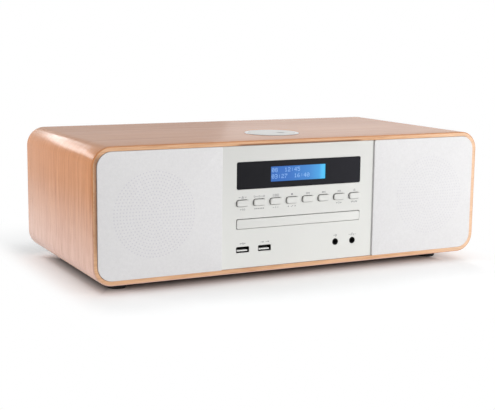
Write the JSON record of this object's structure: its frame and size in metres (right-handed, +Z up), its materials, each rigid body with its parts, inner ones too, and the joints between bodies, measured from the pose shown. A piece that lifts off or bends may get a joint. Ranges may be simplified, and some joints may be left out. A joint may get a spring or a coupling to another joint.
{
  "type": "mini hifi system",
  "caption": "Tabletop music system: wood-wrapped cabinet with rounded corners, pale speaker grilles, centre panel with display, buttons and disc drawer, and a dial on top.",
  "frame": {"origin": "centre of the bounding box in plan, on the plane the feet stand on", "axes": "+X to the right as seen from the front, +Y from the front to the back, +Z up"},
  "size_m": [0.42, 0.2032, 0.1354],
  "materials": {
    "cherry_veneer": "clear satin lacquer",
    "fibreboard": "raw",
    "pale_plastic": "satin moulded",
    "grille_cloth": "fine textured, perforated",
    "black_gloss": "polished",
    "display_glass": "lit display face",
    "dark_plastic": "matt moulded",
    "tray_plastic": "matt moulded",
    "white_plastic": "moulded",
    "black_rubber": "matt",
    "cone_paper": "pressed",
    "circuit_board": "lacquered laminate",
    "bright_steel": "plated",
    "grey_steel": "plated",
    "transformer_iron": "varnished",
    "silver_finish": "spun and anodised",
    "tinned_steel": "tin plated"
  },
  "bodies": {
    "cabinet": {"aerial_socket": "silver_finish", "aux_jack": "dark_plastic", "cabinet_shell": "cherry_veneer", "clamp_bridge": "grey_steel", "dial_bezel": "silver_finish", "display_board": "circuit_board", "display_window": "black_gloss", "drive_belt": "black_rubber", "front_baffle": "fibreboard", "front_left_foot": "black_rubber", "front_panel": "pale_plastic", "front_right_foot": "black_rubber", "headphone_jack": "dark_plastic", "heat_sink": "bright_steel", "lcd_module": "display_glass", "left_basket": "dark_plastic", "left_grille": "grille_cloth", "left_magnet": "grey_steel", "left_surround": "black_rubber", "left_usb_socket": "tinned_steel", "loader_chassis": "dark_plastic", "loading_motor": "bright_steel", "main_board": "circuit_board", "mains_inlet": "dark_plastic", "power_transformer": "transformer_iron", "rear_left_foot": "black_rubber", "rear_panel": "dark_plastic", "rear_right_foot": "black_rubber", "rear_screw_1": "bright_steel", "rear_screw_2": "bright_steel", "rear_screw_3": "bright_steel", "rear_screw_4": "bright_steel", "right_basket": "dark_plastic", "right_grille": "grille_cloth", "right_magnet": "grey_steel", "right_surround": "black_rubber", "right_usb_socket": "tinned_steel", "rotary_encoder": "bright_steel", "socket_board": "circuit_board"},
    "tray": {"disc_tray": "tray_plastic", "tray_front": "pale_plastic"},
    "drive_wheel": {"tray_drive_wheel": "white_plastic"},
    "pulley": {"motor_pulley": "white_plastic"},
    "dial": {"volume_dial": "silver_finish"},
    "deck": {"lift_deck": "grey_steel", "spindle_motor": "bright_steel", "guide_rod": "bright_steel"},
    "spindle": {"spindle_hub": "dark_plastic"},
    "clamp": {"disc_clamp": "white_plastic"},
    "sled": {"pickup_sled": "dark_plastic"},
    "left_diaphragm": {"left_cone": "cone_paper"},
    "right_diaphragm": {"right_cone": "cone_paper"},
    "eject": {"eject_button": "pale_plastic"},
    "program": {"program_button": "pale_plastic"},
    "menu": {"menu_button": "pale_plastic"},
    "stop": {"stop_button": "pale_plastic"},
    "previous": {"previous_button": "pale_plastic"},
    "next": {"next_button": "pale_plastic"},
    "play": {"play_button": "pale_plastic"},
    "standby": {"standby_button": "pale_plastic"}
  },
  "joints": [
    {"name": "tray_slide", "type": "slide", "parent": "cabinet", "child": "tray", "axis": [0, -1, 0], "range_m": [0, 0.126]},
    {"name": "drive_wheel_turn", "type": "hinge", "parent": "cabinet", "child": "drive_wheel", "pos_m": [-0.049, -0.0783, 0.0463], "axis": [0, 0, 1], "range_deg": [-5, 908]},
    {"name": "pulley_turn", "type": "hinge", "parent": "cabinet", "child": "pulley", "pos_m": [-0.014, -0.0763, 0.0463], "axis": [0, 0, 1], "range_deg": [-5, 2690]},
    {"name": "dial_turn", "type": "hinge", "parent": "cabinet", "child": "dial", "pos_m": [0, -0.0404, 0.1354], "axis": [0, 0, 1], "continuous": true},
    {"name": "deck_lift", "type": "slide", "parent": "cabinet", "child": "deck", "axis": [0, 0, 1], "range_m": [0, 0.0065]},
    {"name": "spindle_turn", "type": "hinge", "parent": "deck", "child": "spindle", "pos_m": [0, -0.0263, 0.0471], "axis": [0, 0, 1], "continuous": true},
    {"name": "clamp_turn", "type": "hinge", "parent": "cabinet", "child": "clamp", "pos_m": [0, -0.0263, 0.0629], "axis": [0, 0, 1], "continuous": true},
    {"name": "sled_slide", "type": "slide", "parent": "deck", "child": "sled", "axis": [0, 1, 0], "range_m": [0, 0.034]},
    {"name": "left_cone_stroke", "type": "slide", "parent": "cabinet", "child": "left_diaphragm", "axis": [0, -1, 0], "range_m": [-0.002, 0.002], "stiffness_N_per_m": 400},
    {"name": "right_cone_stroke", "type": "slide", "parent": "cabinet", "child": "right_diaphragm", "axis": [0, -1, 0], "range_m": [-0.002, 0.002], "stiffness_N_per_m": 400},
    {"name": "eject_press", "type": "slide", "parent": "cabinet", "child": "eject", "axis": [0, 1, 0], "range_m": [0, 0.0008], "stiffness_N_per_m": 400, "springref_m": -0.002},
    {"name": "program_press", "type": "slide", "parent": "cabinet", "child": "program", "axis": [0, 1, 0], "range_m": [0, 0.0008], "stiffness_N_per_m": 400, "springref_m": -0.002},
    {"name": "menu_press", "type": "slide", "parent": "cabinet", "child": "menu", "axis": [0, 1, 0], "range_m": [0, 0.0008], "stiffness_N_per_m": 400, "springref_m": -0.002},
    {"name": "stop_press", "type": "slide", "parent": "cabinet", "child": "stop", "axis": [0, 1, 0], "range_m": [0, 0.0008], "stiffness_N_per_m": 400, "springref_m": -0.002},
    {"name": "previous_press", "type": "slide", "parent": "cabinet", "child": "previous", "axis": [0, 1, 0], "range_m": [0, 0.0008], "stiffness_N_per_m": 400, "springref_m": -0.002},
    {"name": "next_press", "type": "slide", "parent": "cabinet", "child": "next", "axis": [0, 1, 0], "range_m": [0, 0.0008], "stiffness_N_per_m": 400, "springref_m": -0.002},
    {"name": "play_press", "type": "slide", "parent": "cabinet", "child": "play", "axis": [0, 1, 0], "range_m": [0, 0.0008], "stiffness_N_per_m": 400, "springref_m": -0.002},
    {"name": "standby_press", "type": "slide", "parent": "cabinet", "child": "standby", "axis": [0, 1, 0], "range_m": [0, 0.0008], "stiffness_N_per_m": 400, "springref_m": -0.002}
  ],
  "couplings": [
    {"joint": "drive_wheel_turn", "follows": "tray_slide", "rad_per_m": 125},
    {"joint": "pulley_turn", "follows": "tray_slide", "rad_per_m": 371.84},
    {"joint": "clamp_turn", "follows": "spindle_turn", "ratio": 1}
  ]
}
